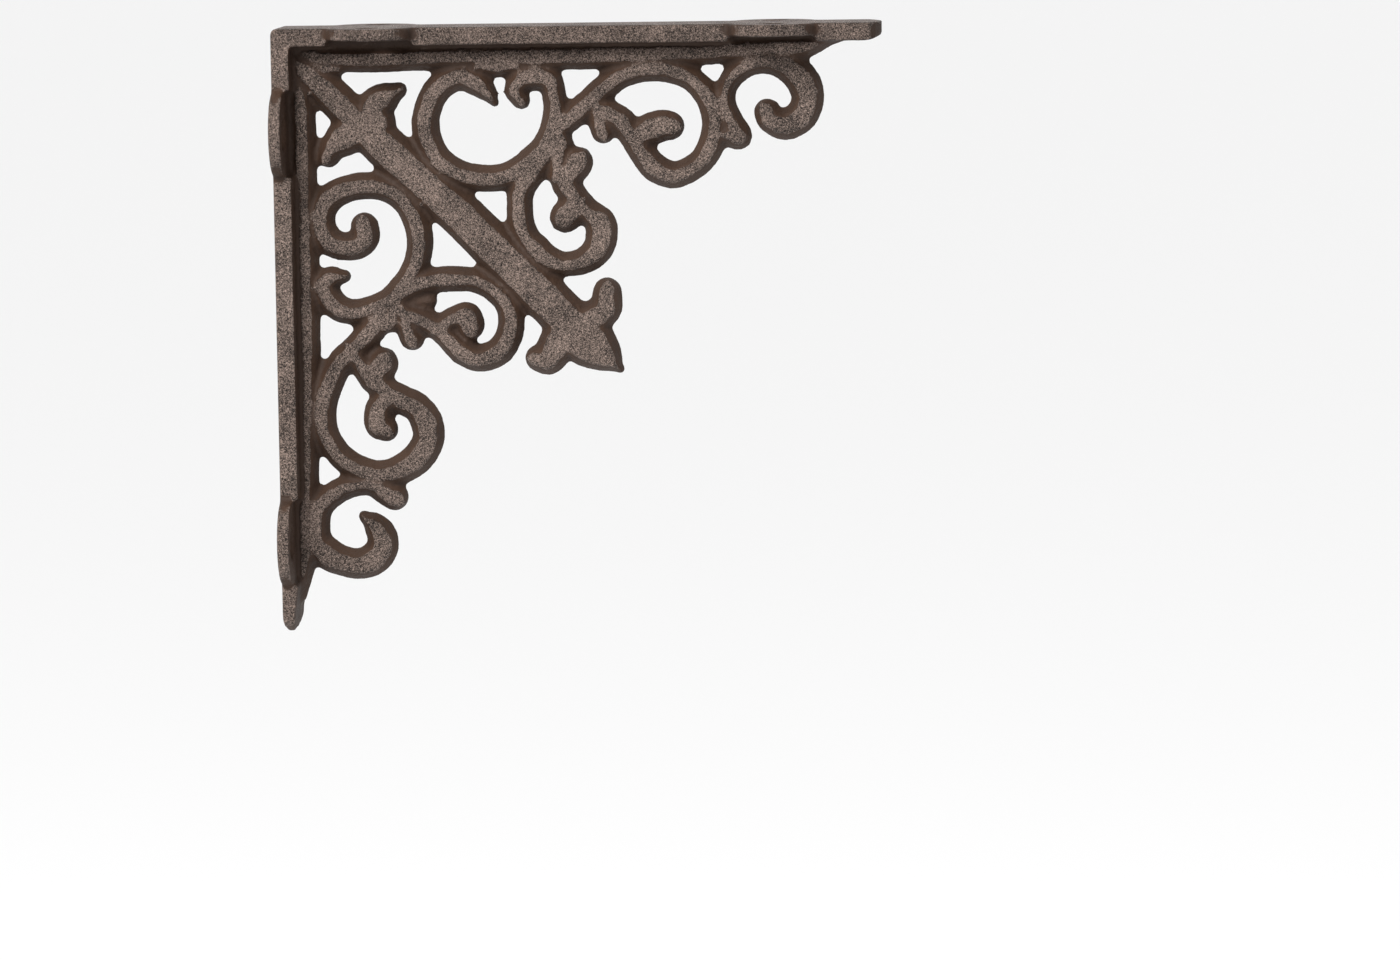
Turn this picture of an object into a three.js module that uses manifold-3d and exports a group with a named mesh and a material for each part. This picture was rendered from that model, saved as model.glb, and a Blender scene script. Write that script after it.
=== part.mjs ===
import * as THREE from 'three';
import { mergeVertices } from 'three/addons/utils/BufferGeometryUtils.js';
import Module from 'manifold-3d';

const wasm = await Module();
wasm.setup();

// A cast iron shelf bracket: two narrow plates in an L, one against the wall and one under
// the shelf, with a fretwork web of scrolls and a diagonal arrow between them, all one casting.
// Millimetres. X runs out from the wall, Y across the plates and Z up.

// The two plates
const shelfArm = 133;
const wallArm = 133;
const plateThickness = 4;
const plateWidth = 18;
const cornerRadius = 1.2;
const noseLength = 3.6;
const noseWidth = 7;
const shelfNose = 2.6;
const wallNose = 1.2;
const wallTaper = 14;
// Where a nose rounds off, as shares of its length back from the tip and of the plate's width
const noseBack = 0.3;
const noseBlunt = 0.12;
const noseShoulder = 0.85;
const noseWidest = 0.8;

// The ears that carry the screws, two to a plate, each with a hole on both sides of the web
const earThickness = 2.7;
const earRadius = 9.6;
const earSpread = 14;
const shelfEarNear = 21.5;
const shelfEarFar = 109.2;
const wallEarNear = 23;
const wallEarFar = 112.7;
const screwHole = 4.8;
const screwSpacing = 20;
const sinkWidth = 7.4;
const sinkDepth = 1.3;
const pocketNeck = 5;

// The fretwork: widths at the mid plane, where the two halves of the mould meet, and the
// height that each kind of bar stands out from that plane on each side
const scrollWidth = 6.2;
const scrollHeight = 3.4;
const curlHeight = 3.2;
const braceWidth = 10.8;
const braceHeight = 3.9;
const railWidth = 6.4;
const railHeight = 3.5;
const budHeight = 3.3;
const webHeight = 1.8;
const shoulder = 1.5;
const braceShoulder = 2.1;
const narrowestLand = 0.12;
const bendInset = 0.32;
const bendHeight = 0.74;
const innerRoom = 0.9;

// How finely the curves are cut into flats
const turnPerStation = 0.3;
const samplesPerKnot = 10;
const swellPerStation = 0.09;
const shortestRun = 0.1;
const capSteps = 3;
const roundSides = 24;

// The pattern is drawn from the inner corner of the two plates, out and down, and is
// stretched to fit whatever lies between that corner and the ends of the two plates.
const patternSize = 129;
// How much the fretwork climbs towards the shelf for each millimetre out from the wall
const patternRise = 0.0128;
const stretchOut = (shelfArm - plateThickness) / patternSize;
const stretchDown = (wallArm - plateThickness) / patternSize;

// A stretch of a ring as the compass draws it: its centre, out and down, then the stations
// [degrees, radius, width share] round it, degrees running from the shelf end downwards.
function ring(out, down, stations) {
  const degreesPerKnot = 24;
  const knots = [];
  for (let i = 0; i < stations.length - 1; i += 1) {
    const [fromAngle, fromRadius, fromWidth] = stations[i];
    const [toAngle, toRadius, toWidth] = stations[i + 1];
    const steps = Math.max(1, Math.round(Math.abs(toAngle - fromAngle) / degreesPerKnot));
    for (let step = 0; step < steps; step += 1) {
      const t = step / steps;
      const angle = THREE.MathUtils.degToRad(THREE.MathUtils.lerp(fromAngle, toAngle, t));
      const radius = THREE.MathUtils.lerp(fromRadius, toRadius, t);
      knots.push([
        out + radius * Math.cos(angle),
        down + radius * Math.sin(angle),
        THREE.MathUtils.lerp(fromWidth, toWidth, t),
      ]);
    }
  }
  const [angle, radius, width] = stations[stations.length - 1];
  const last = THREE.MathUtils.degToRad(angle);
  knots.push([out + radius * Math.cos(last), down + radius * Math.sin(last), width]);
  return knots;
}

// Bars of the fretwork as knots [out, down, width share]. A share of 1 is the full width of
// the bar, and a small one at an end makes a pointed tip.

// The scrolls between the diagonal and the shelf
const shelfRing = [
  [44, 13.5, 0.34],
  [42.5, 11.3, 0.75],
  [40.1, 9.1, 1],
  [37, 7.6, 1.06],
  ...ring(43, 17, [
    [-139, 12.6, 1.03],
    [-157, 13.5, 1.03],
    [-184, 14.3, 1.03],
    [-215, 14.4, 1.02],
    [-260, 13.2, 1],
    [-312, 13, 1.05],
    [-361, 14.5, 1.02],
    [-378, 14.9, 0.9],
    [-392, 15.3, 1],
  ]),
  [53.3, 7.9, 1.12],
  [50.3, 8.6, 1],
  [48.8, 11, 0.88],
  [49.8, 13, 0.72],
];
const shelfRingSaddle = [
  [40.8, 5.5, 0.65],
  [45, 5.4, 0.92],
  [49.2, 5.7, 0.65],
];
const shelfLeaf = [
  [57.3, 19.6, 1],
  [60.9, 17, 1],
  [64.5, 14.2, 1],
  [68, 11, 0.97],
  [72.1, 8.2, 0.97],
  ...ring(80.7, 17.9, [
    [-108, 11.6, 1],
    [-83, 11, 1.04],
    [-50, 10.7, 0.9],
    [-23, 11.2, 1.02],
    [13, 11.9, 1.02],
    [50, 12.7, 0.96],
    [78, 12.6, 1],
    [98, 10.9, 1.07],
    [120, 8.6, 1],
    [150, 7.5, 1],
  ]),
  [71.8, 18.3, 1.05],
  [68.9, 16.2, 0.98],
];
const shelfLeafEye = [
  [75.2, 21.3, 1.05],
  [77.9, 20.2, 1.2],
  [81, 19.4, 1.18],
  [82.2, 19.5, 1.1],
];
const shelfLeafBud = [
  [66.7, 14.7, 0.78],
  [67, 17.6, 0.9],
  [67.7, 20.3, 0.9],
];
const shelfEndScroll = [
  [93.8, 21.5, 0.8],
  [97.6, 22.3, 0.93],
  ...ring(103.5, 14.5, [
    [150, 8.8, 0.93],
    [176, 9, 0.84],
    [198, 9.1, 0.8],
    [222, 9, 0.86],
    [251, 8.9, 0.97],
    [280, 8.8, 1.07],
    [309, 8.8, 1.18],
    [336, 9.1, 1.25],
    [360, 9.1, 1.19],
    [385, 8.3, 1.21],
    [412, 6.6, 1.18],
    [436, 4.1, 1.06],
  ]),
  [103.8, 17.2, 1.02],
];
const shelfHook = [
  [57.2, 22.2, 1],
  [54.3, 25.4, 1.13],
  [51.6, 29.1, 1.1],
  ...ring(59.8, 38.8, [
    [-151, 11.8, 1],
    [-170, 10.8, 0.99],
    [-192, 10.4, 0.99],
    [-216, 10.1, 0.97],
    [-242, 10.3, 1.02],
    [-265, 10.5, 0.92],
    [-288, 10.3, 1],
    [-310, 9.7, 1.13],
    [-329, 8.5, 1.19],
    [-348, 7.1, 1.16],
  ]),
  [64.3, 37.9, 0.97],
  [61.3, 34.4, 1],
  [59.5, 31, 1.14],
  [62, 27.1, 1.16],
];
const shelfHookWeb = [
  [58.4, 22.9, 0.98],
  [57.5, 29.5, 0.8],
];
const shelfHookEye = [
  [62.3, 35.6, 0.84],
  [60.1, 37.1, 1],
  [58.9, 39.2, 1.1],
  [60.9, 38.2, 1.03],
];

// The scrolls between the diagonal and the wall
const wallRing = [
  [14.9, 40.1, 1.04],
  [15.1, 42.4, 1.05],
  [13.3, 44, 1.08],
  [10.5, 44.3, 1.05],
  [7.4, 43.2, 1.08],
  [5.5, 39.9, 1.06],
  ...ring(12.9, 44.9, [
    [-131, 11.2, 1.06],
    [-115, 12.6, 1.06],
    [-97, 13.3, 1.02],
    [-61, 14.9, 1.02],
    [-43, 15.1, 1],
    [-6, 14.2, 1],
    [36, 13.3, 0.95],
    [79, 13.6, 0.94],
    [96, 13.9, 0.97],
    [110, 13.3, 1.03],
    [124, 11.8, 1.03],
  ]),
  [5.7, 52.7, 1],
  [7.5, 51.2, 0.9],
  [10.1, 50.9, 0.54],
];
const wallStem = [
  [22.7, 54.3, 0.85],
  [19.3, 57.3, 1],
  [16.6, 62.1, 1.06],
  [12.8, 66.3, 0.99],
  ...ring(17.7, 83.5, [
    [-123, 16, 1.03],
    [-141, 14.4, 1.03],
    [-159, 13.5, 1.03],
    [-198, 12.1, 0.97],
    [-221, 11.5, 0.97],
    [-246, 11.2, 1],
    [-271, 11.2, 1],
    [-295, 11.1, 1.12],
    [-319, 11.2, 1.19],
    [-342, 11, 1.19],
    [-364, 9.8, 1.2],
    [-384, 8.5, 1.1],
    [-408, 6.9, 1.08],
    [-439, 7.4, 1],
  ]),
  [16.6, 73.3, 1.16],
  [18.2, 70.5, 1.22],
];
const wallStemEye = [
  [20.9, 77.8, 1],
  [18.2, 79.1, 1.06],
  [17.2, 81.7, 1.13],
  [17.5, 83.9, 1.13],
  [18.6, 84.7, 0.97],
];
const wallStemWeb = [
  [21.8, 55.7, 1],
  [20.3, 60.3, 1.08],
];
const wallStemNeck = [
  [11.4, 66.9, 0.8],
  [13.8, 70.5, 0.94],
  [16, 74, 0.96],
];
const wallHook = [
  [22.9, 55.1, 0.9],
  [25.8, 53.2, 1],
  [29.8, 52.2, 0.97],
  ...ring(37.1, 61, [
    [-105, 9.3, 0.97],
    [-76, 8.8, 0.91],
    [-46, 8.9, 0.93],
    [-19, 9.5, 0.95],
    [5, 9.8, 1],
    [29, 10, 1.03],
    [50, 9.8, 1.06],
    [74, 8.9, 1.03],
    [96, 7.3, 1],
    [128, 5.8, 0.97],
  ]),
  [30.7, 62.8, 0.93],
  [27.4, 61, 0.97],
  [23.9, 59.5, 0.94],
];
const wallHookWeb = [
  [25.3, 56.5, 0.84],
  [28.2, 56.6, 0.8],
];
const wallHookEye = [
  [31.3, 62.6, 0.94],
  [34.2, 60.8, 0.92],
  [37, 60.5, 1.14],
  [37.6, 62, 1.14],
];
const wallHookBud = [
  [23.5, 59.3, 0.84],
  [24.1, 62.2, 0.94],
  [24.9, 64.7, 0.94],
];
const wallEndScroll = [
  [13.6, 104.1, 0.46],
  [15.6, 105.7, 0.9],
  ...ring(10.2, 106.7, [
    [12, 7.2, 1.12],
    [30, 8.4, 1.18],
    [51, 8.7, 1.22],
    [75, 8.2, 1.16],
    [101, 7.4, 1.13],
    [130, 7.4, 1.22],
    [159, 7.6, 1.13],
    [190, 7.7, 1.13],
    [218, 8.1, 1.03],
    [248, 8.4, 0.94],
    [275, 9.5, 0.9],
  ]),
  [15.3, 97.1, 0.9],
  [18.3, 98.6, 1.03],
  [20.3, 99.8, 1.06],
];

// The diagonal arrow: its shaft, the two barbs at its tail and the two at its head
const brace = [
  [1.1, 4, 0.61],
  [5, 7.9, 0.74],
  [8.7, 11.5, 0.78],
  [13.8, 16.8, 0.81],
  [18.8, 21.7, 0.91],
  [28.2, 30.6, 0.94],
  [34.8, 36.6, 0.94],
  [45.6, 47.5, 0.98],
  [53.4, 55.4, 1],
  [57.2, 59.4, 0.98],
  [61.3, 63.8, 1.06],
  [64.4, 66.8, 1.1],
  [68.1, 70.1, 0.72],
  [70.6, 72.5, 0.22],
];
const tailBarbShelf = [
  [17.3, 17.4, 0.95],
  [18, 13.7, 0.8],
  [20.6, 11.6, 0.63],
  [22.9, 10.4, 0.37],
];
const tailBarbWall = [
  [14.3, 18.1, 0.94],
  [10.6, 20.6, 0.8],
  [8, 23, 0.58],
  [7.4, 24.1, 0.53],
];
const headBarbShelf = [
  [60, 62.9, 0.9],
  [64.5, 61.5, 0.78],
  [67.6, 59.1, 0.7],
  [68.1, 55.8, 0.63],
];
const headBarbWall = [
  [58.8, 64.5, 0.98],
  [56.5, 67.7, 0.81],
  [54.8, 70.1, 0.68],
  [53.1, 69.9, 0.61],
];

// The rails under the shelf plate and along the wall plate, running out into the plates' noses
const shelfRail = [
  [-0.6, 1.2, 0.8],
  [10, 3.1, 0.95],
  [34.2, 3.2, 0.97],
  [56.3, 3.6, 1.02],
  [78.3, 3.6, 1.02],
  [100.4, 3.1, 0.97],
  [111.5, 2.8, 0.94],
  [118.1, 1, 0.56],
  [124, -0.6, 0.4],
];
const wallRail = [
  [-0.6, 1.2, 0.8],
  [1.4, 12, 0.96],
  [1.6, 34, 1],
  [1.8, 56.1, 0.98],
  [1.4, 78.2, 0.98],
  [0.6, 100.2, 0.97],
  [0.6, 110.2, 1.02],
  [-0.3, 116.1, 0.8],
  [-1, 121.5, 0.5],
];

const fretwork = [
  { bars: [shelfRing, shelfLeaf, shelfEndScroll, shelfHook], width: scrollWidth, height: scrollHeight },
  { bars: [wallRing, wallStem, wallHook, wallEndScroll], width: scrollWidth, height: scrollHeight },
  { bars: [shelfLeafEye, shelfHookEye, wallStemEye, wallHookEye], width: scrollWidth, height: curlHeight },
  { bars: [shelfRingSaddle, shelfHookWeb, wallStemWeb], width: scrollWidth, height: curlHeight },
  { bars: [wallStemNeck], width: scrollWidth, height: curlHeight },
  { bars: [wallHookWeb], width: scrollWidth, height: webHeight },
  { bars: [shelfLeafBud, wallHookBud], width: scrollWidth, height: budHeight },
  { bars: [shelfRail, wallRail], width: railWidth, height: railHeight },
  { bars: [brace], width: braceWidth, height: braceHeight, edge: braceShoulder },
  { bars: [tailBarbShelf, tailBarbWall], width: braceWidth, height: braceHeight, edge: braceShoulder },
  { bars: [headBarbShelf, headBarbWall], width: braceWidth, height: braceHeight, edge: braceShoulder },
];

// A closed body ready to be joined or cut
function solid(geometry) {
  geometry.deleteAttribute('normal');
  geometry.deleteAttribute('uv');
  const samePoint = 1e-4;
  const merged = mergeVertices(geometry, samePoint);
  return new wasm.Manifold(new wasm.Mesh({
    numProp: 3,
    vertProperties: Float32Array.from(merged.attributes.position.array),
    triVerts: Uint32Array.from(merged.index.array),
  }));
}

// Stations along a bar: where it is, which way it runs, its half width and how tightly it turns.
// A station is kept wherever the path has turned enough since the last one.
function stationsAlong(knots, width) {
  const points = knots.map(([out, down, share]) => new THREE.Vector3(
    plateThickness + out * stretchOut,
    patternRise * out * stretchOut - plateThickness - down * stretchDown,
    share * width / 2,
  ));
  const curve = new THREE.CatmullRomCurve3(points, false, 'centripetal');
  const count = (points.length - 1) * samplesPerKnot;
  const longestStep = 2 * width;
  const stations = [];
  let lastKept = null;
  for (let i = 0; i <= count; i += 1) {
    const point = curve.getPoint(i / count);
    const tangent = curve.getTangent(i / count);
    const heading = Math.atan2(tangent.y, tangent.x);
    const station = { x: point.x, z: point.y, half: point.z, heading };
    if (lastKept === null || i === count) {
      stations.push(station);
      lastKept = station;
      continue;
    }
    const turned = Math.abs(angleBetween(lastKept.heading, heading));
    const run = Math.hypot(station.x - lastKept.x, station.z - lastKept.z);
    const swelled = Math.abs(station.half - lastKept.half) > width * swellPerStation;
    if (turned > turnPerStation || run > longestStep || swelled) {
      stations.push(station);
      lastKept = station;
    }
  }
  const [beforeLast, last] = stations.slice(-2);
  if (stations.length > 2 && Math.hypot(last.x - beforeLast.x, last.z - beforeLast.z) < width * shortestRun) {
    stations.splice(-2, 1);
  }
  return stations;
}

function angleBetween(from, to) {
  const turn = to - from;
  return Math.atan2(Math.sin(turn), Math.cos(turn));
}

// Rounded ends: the same section shrinking along a quarter circle as wide as the bar's end
function endCap(station, way) {
  const cap = [];
  for (let step = 1; step < capSteps; step += 1) {
    const angle = (step / capSteps) * Math.PI / 2;
    const reach = way * station.half * Math.sin(angle);
    cap.push({
      x: station.x + reach * Math.cos(station.heading),
      z: station.z + reach * Math.sin(station.heading),
      half: station.half * Math.cos(angle),
      heading: station.heading,
    });
  }
  return cap;
}

// How far the bar can reach to the inside of its turn before its flats would cross
function innerLimit(stations, i) {
  const nearlyStraight = 1e-6;
  const before = stations[Math.max(0, i - 1)];
  const after = stations[Math.min(stations.length - 1, i + 1)];
  const turn = angleBetween(before.heading, after.heading);
  const run = Math.hypot(after.x - before.x, after.z - before.z);
  return { side: Math.sign(turn), reach: innerRoom * run / Math.max(Math.abs(turn), nearlyStraight) };
}

// The section across a bar, from one edge over the front to the other edge and back behind:
// a land on each face, shoulders that round down to the parting line, less height at a tip
function section(station, limit, height, edge) {
  const fullness = Math.min(station.half / edge, 1);
  const top = height * Math.sqrt(1 - (1 - fullness) ** 2);
  const land = Math.max(station.half - edge, station.half * narrowestLand);
  const bend = station.half - bendInset * (station.half - land);
  const profile = [
    [-station.half, 0],
    [-bend, -bendHeight * top],
    [-land, -top],
    [land, -top],
    [bend, -bendHeight * top],
    [station.half, 0],
    [land, top],
    [-land, top],
  ];
  return profile.map(([across, y]) => {
    const tooFar = limit.side !== 0 && across * limit.side > limit.reach;
    const held = tooFar ? limit.side * limit.reach : across;
    return [
      station.x - held * Math.sin(station.heading),
      y,
      station.z + held * Math.cos(station.heading),
    ];
  });
}

// One bar of the fretwork, swept along its stations and closed to a point at each rounded end
function bar(knots, width, height, edge) {
  const path = stationsAlong(knots, width);
  const first = path[0];
  const last = path[path.length - 1];
  const stations = [...endCap(first, -1).reverse(), ...path, ...endCap(last, 1)];
  const noLimit = { side: 0, reach: 0 };
  const sections = stations.map((station) => {
    const place = path.indexOf(station);
    const limit = place < 0 ? noLimit : innerLimit(path, place);
    return section(station, limit, height, edge);
  });
  const sides = sections[0].length;
  const positions = sections.flat(2);
  const tip = (station, way) => [
    station.x + way * station.half * Math.cos(station.heading),
    0,
    station.z + way * station.half * Math.sin(station.heading),
  ];
  const startTip = sections.length * sides;
  const endTip = startTip + 1;
  positions.push(...tip(first, -1), ...tip(last, 1));
  const faces = [];
  for (let side = 0; side < sides; side += 1) {
    const next = (side + 1) % sides;
    faces.push(startTip, side, next);
    for (let i = 0; i < sections.length - 1; i += 1) {
      const here = i * sides;
      const there = here + sides;
      faces.push(here + side, there + side, here + next);
      faces.push(here + next, there + side, there + next);
    }
    const lastRow = (sections.length - 1) * sides;
    faces.push(endTip, lastRow + next, lastRow + side);
  }
  const geometry = new THREE.BufferGeometry();
  geometry.setAttribute('position', new THREE.Float32BufferAttribute(positions, 3));
  geometry.setIndex(faces);
  return solid(geometry);
}

// A flat form drawn in X and Y and given a thickness upwards from Z = 0
function slab(shape, thickness) {
  const geometry = new THREE.ExtrudeGeometry(shape, {
    depth: thickness,
    bevelEnabled: false,
    curveSegments: roundSides / 4,
  });
  return solid(geometry);
}

// The outline of a plate seen square on: straight sides, drawn in to a blunt nose at the end
function plateOutline(arm) {
  const side = plateWidth / 2;
  const noseSide = Math.min(noseWidth / 2, side * noseWidest);
  const outline = new THREE.Shape();
  outline.moveTo(0, -side);
  outline.lineTo(arm - noseLength, -side);
  outline.quadraticCurveTo(
    arm - noseLength * noseBack, -side * noseShoulder, arm - noseLength * noseBlunt, -noseSide,
  );
  outline.quadraticCurveTo(arm, 0, arm - noseLength * noseBlunt, noseSide);
  outline.quadraticCurveTo(arm - noseLength * noseBack, side * noseShoulder, arm - noseLength, side);
  outline.lineTo(0, side);
  outline.closePath();
  return outline;
}

// The plate's long edge: full thickness along the arm, thinned from both faces at the nose,
// and where it has a taper thinned from the inner face before that
function plateProfile(arm, nose, taper) {
  const outerCut = (earThickness - nose) / 2;
  const nearNose = taper > 0 ? earThickness : plateThickness;
  const profile = new THREE.Shape();
  profile.moveTo(0, 0);
  profile.lineTo(arm - noseLength, 0);
  profile.quadraticCurveTo(arm - noseLength * noseBack, 0, arm, outerCut);
  profile.lineTo(arm, outerCut + nose);
  profile.quadraticCurveTo(arm - noseLength * noseBack, nearNose, arm - noseLength, nearNose);
  if (taper > 0) {
    profile.lineTo(arm - taper, plateThickness);
  }
  profile.lineTo(0, plateThickness);
  profile.closePath();
  return profile;
}

// An ear: a round at each side of the plate, bridged across it, thinner than the plate
function earOutline(along) {
  const outline = new THREE.Shape();
  const side = earSpread / 2;
  outline.absarc(along, side, earRadius, 0, Math.PI, false);
  outline.absarc(along, -side, earRadius, Math.PI, 2 * Math.PI, false);
  outline.closePath();
  return outline;
}

// What is taken off the plate over a pair of ears, so that it is no thicker there than they
// are, but for a neck along the middle that carries the rail
function earPocket(along) {
  const depth = plateThickness;
  const rounds = [1, -1].map((way) => {
    const outline = new THREE.Shape();
    outline.absarc(along, way * earSpread / 2, earRadius, 0, 2 * Math.PI, false);
    return slab(outline, depth);
  });
  const neck = new THREE.Shape();
  neck.moveTo(along - 2 * earRadius, -pocketNeck / 2);
  neck.lineTo(along + 2 * earRadius, -pocketNeck / 2);
  neck.lineTo(along + 2 * earRadius, pocketNeck / 2);
  neck.lineTo(along - 2 * earRadius, pocketNeck / 2);
  neck.closePath();
  const pocket = rounds[0].add(rounds[1]).subtract(slab(neck, depth));
  return pocket.translate([0, 0, earThickness]);
}

// A screw hole right through an ear, sunk for the screw's head on the inner face
function screwCut(along, across) {
  const through = new THREE.CylinderGeometry(screwHole / 2, screwHole / 2, 3 * earThickness, roundSides);
  through.rotateX(Math.PI / 2);
  through.translate(along, across, earThickness / 2);
  const above = 0.5;
  const slope = (sinkWidth - screwHole) / 2 / sinkDepth;
  const sinkTop = sinkWidth / 2 + above * slope;
  const sink = new THREE.CylinderGeometry(sinkTop, screwHole / 2, sinkDepth + above, roundSides);
  sink.rotateX(Math.PI / 2);
  sink.translate(along, across, earThickness + (above - sinkDepth) / 2);
  return solid(through).add(solid(sink));
}

// One plate lying along X with its outer face on Z = 0 and its inner face above
function plate(arm, earPlaces, nose, taper) {
  const edgeOn = new THREE.ExtrudeGeometry(plateProfile(arm, nose, taper), {
    depth: plateWidth,
    bevelEnabled: false,
    curveSegments: roundSides / 6,
  });
  edgeOn.translate(0, 0, -plateWidth / 2);
  edgeOn.rotateX(Math.PI / 2);
  let body = slab(plateOutline(arm), plateThickness).intersect(solid(edgeOn));
  for (const along of earPlaces) {
    body = body.subtract(earPocket(along)).add(slab(earOutline(along), earThickness));
  }
  return body;
}

function screwCuts(earPlaces) {
  const cuts = earPlaces.flatMap((along) => [
    screwCut(along, screwSpacing / 2),
    screwCut(along, -screwSpacing / 2),
  ]);
  return wasm.Manifold.union(cuts);
}

// The sliver taken off the outer corner of the L to round it
function cornerCut() {
  const spare = 1;
  const shape = new THREE.Shape();
  shape.moveTo(-spare, -spare);
  shape.lineTo(cornerRadius, -spare);
  shape.lineTo(cornerRadius, 0);
  shape.absarc(cornerRadius, cornerRadius, cornerRadius, -Math.PI / 2, -Math.PI, true);
  shape.lineTo(-spare, cornerRadius);
  shape.closePath();
  const depth = plateWidth + 2 * earRadius + earSpread;
  const geometry = new THREE.ExtrudeGeometry(shape, { depth, bevelEnabled: false, curveSegments: 5 });
  geometry.translate(0, 0, -depth / 2);
  geometry.rotateX(-Math.PI / 2);
  return solid(geometry);
}

// The shelf plate lies along X under the shelf, and the wall plate hangs down from it.
function casting() {
  const shelfEars = [shelfEarNear, shelfEarFar];
  const wallEars = [wallEarNear, wallEarFar];
  const underShelf = (body) => body.rotate([180, 0, 0]);
  const alongWall = (body) => body.rotate([0, 90, 0]);
  const bodies = [
    underShelf(plate(shelfArm, shelfEars, shelfNose, 0)),
    alongWall(plate(wallArm, wallEars, wallNose, wallTaper)),
  ];
  for (const { bars, width, height, edge = shoulder } of fretwork) {
    bodies.push(...bars.map((knots) => bar(knots, width, height, edge)));
  }
  const joined = wasm.Manifold.union(bodies);
  const cuts = wasm.Manifold.union([
    underShelf(screwCuts(shelfEars)),
    alongWall(screwCuts(wallEars)),
    cornerCut(),
  ]);
  const cast = joined.subtract(cuts).getMesh();
  const geometry = new THREE.BufferGeometry();
  const stride = cast.numProp;
  const positions = [];
  for (let i = 0; i < cast.vertProperties.length; i += stride) {
    positions.push(...cast.vertProperties.slice(i, i + 3));
  }
  geometry.setAttribute('position', new THREE.Float32BufferAttribute(positions, 3));
  geometry.setIndex(Array.from(cast.triVerts));
  return geometry;
}

const castIron = new THREE.MeshStandardMaterial({
  name: 'cast_iron',
  color: 0x4a4038,
  roughness: 0.6,
  metalness: 0.5,
});

// The origin is on the wall face, half way down the wall plate and on its centre line.
const bracket = new THREE.Group();
const bracketCasting = new THREE.Mesh(casting(), castIron);
bracketCasting.name = 'bracket_casting';
bracketCasting.position.z = wallArm / 2;
bracket.add(bracketCasting);

export default bracket;
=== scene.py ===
import math

import bmesh
import bpy
from mathutils import Matrix, Vector


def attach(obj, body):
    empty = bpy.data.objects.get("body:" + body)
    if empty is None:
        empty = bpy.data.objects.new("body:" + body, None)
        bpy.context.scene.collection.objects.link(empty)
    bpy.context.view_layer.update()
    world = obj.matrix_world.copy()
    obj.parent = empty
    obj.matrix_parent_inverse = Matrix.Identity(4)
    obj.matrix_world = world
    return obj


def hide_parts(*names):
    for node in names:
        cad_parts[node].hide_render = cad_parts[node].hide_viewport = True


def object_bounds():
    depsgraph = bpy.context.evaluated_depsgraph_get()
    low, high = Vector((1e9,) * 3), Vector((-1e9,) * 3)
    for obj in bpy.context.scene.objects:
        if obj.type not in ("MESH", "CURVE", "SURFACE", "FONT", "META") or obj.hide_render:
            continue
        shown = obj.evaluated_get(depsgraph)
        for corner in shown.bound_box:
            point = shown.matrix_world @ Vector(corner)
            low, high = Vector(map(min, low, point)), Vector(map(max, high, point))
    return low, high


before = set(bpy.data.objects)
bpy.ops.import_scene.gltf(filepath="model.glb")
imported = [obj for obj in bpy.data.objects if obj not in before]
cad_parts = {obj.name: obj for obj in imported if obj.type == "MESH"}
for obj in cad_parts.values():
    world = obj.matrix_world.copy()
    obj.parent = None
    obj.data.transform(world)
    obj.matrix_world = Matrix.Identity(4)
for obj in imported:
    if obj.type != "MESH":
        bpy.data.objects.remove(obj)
cad_low, cad_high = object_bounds()

# A cast iron shelf bracket: two narrow plates in an L with a fretwork web of scrolls and a
# diagonal arrow between them. The sizes below are millimetres, and MM turns them into metres.
MM = 0.001
SHELF_ARM = 133
WALL_ARM = 133
PLATE_THICKNESS = 4
PLATE_WIDTH = 18
CORNER_RADIUS = 1.2
NOSE_LENGTH = 3.6
NOSE_WIDTH = 7
SHELF_NOSE = 2.6
WALL_NOSE = 1.2
WALL_TAPER = 14

EAR_THICKNESS = 2.7
EAR_RADIUS = 9.6
EAR_SPREAD = 14
SHELF_EARS = (21.5, 109.2)
WALL_EARS = (23, 112.7)
SCREW_HOLE = 4.8
SCREW_SPACING = 20
SINK_WIDTH = 7.4
SINK_DEPTH = 1.3
POCKET_NECK = 5

SCROLL_WIDTH = 6.2
SCROLL_HEIGHT = 3.4
CURL_HEIGHT = 3.2
BUD_HEIGHT = 3.3
WEB_HEIGHT = 1.8
BRACE_WIDTH = 10.8
BRACE_HEIGHT = 3.9
RAIL_WIDTH = 6.4
RAIL_HEIGHT = 3.5
SHOULDER = 2.3
BRACE_SHOULDER = 2.5
# How much the fretwork climbs towards the shelf for each millimetre out from the wall
PATTERN_RISE = 0.0128

# The land's fall from its middle to its edges, as a share of its height, and how a shoulder
# climbs: shares of its breadth and of the bar's height
CROWN = 0.12
SHOULDER_CLIMB = ((0.35, 0.45), (0.72, 0.87), (0.88, 0.97))

# How finely the bars are drawn before they are cast into one skin
SAMPLES_PER_KNOT = 12
CAP_STEPS = 7
SECTION_POINTS = 28
ROUND_SIDES = 48
CORNER_STEPS = 6
NOSE_STEPS = 10

# The skin: size of its first net, how often it is eased, and the most triangles it may keep
NET = 0.32
FILLET = 0.45
EASING = 5
EASING_SHARE = 0.5
MOST_TRIANGLES = 190000

# The waver of the mould: how far it goes, how many swells to a metre, and its seed
LONG_WAVER = (0.16, 190.0, 3.0)
SHORT_WAVER = (0.1, 620.0, 11.0)
PITTING = (0.05, 1900.0, 5.0)
# How far in from a seat the waver starts and where it is full
SEAT_EDGE = (0.1, 0.9)

# How far the skin is blurred to find its creases and its broad hollows
CREASE_ROUNDS = 10
HOLLOW_ROUNDS = 60
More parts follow.
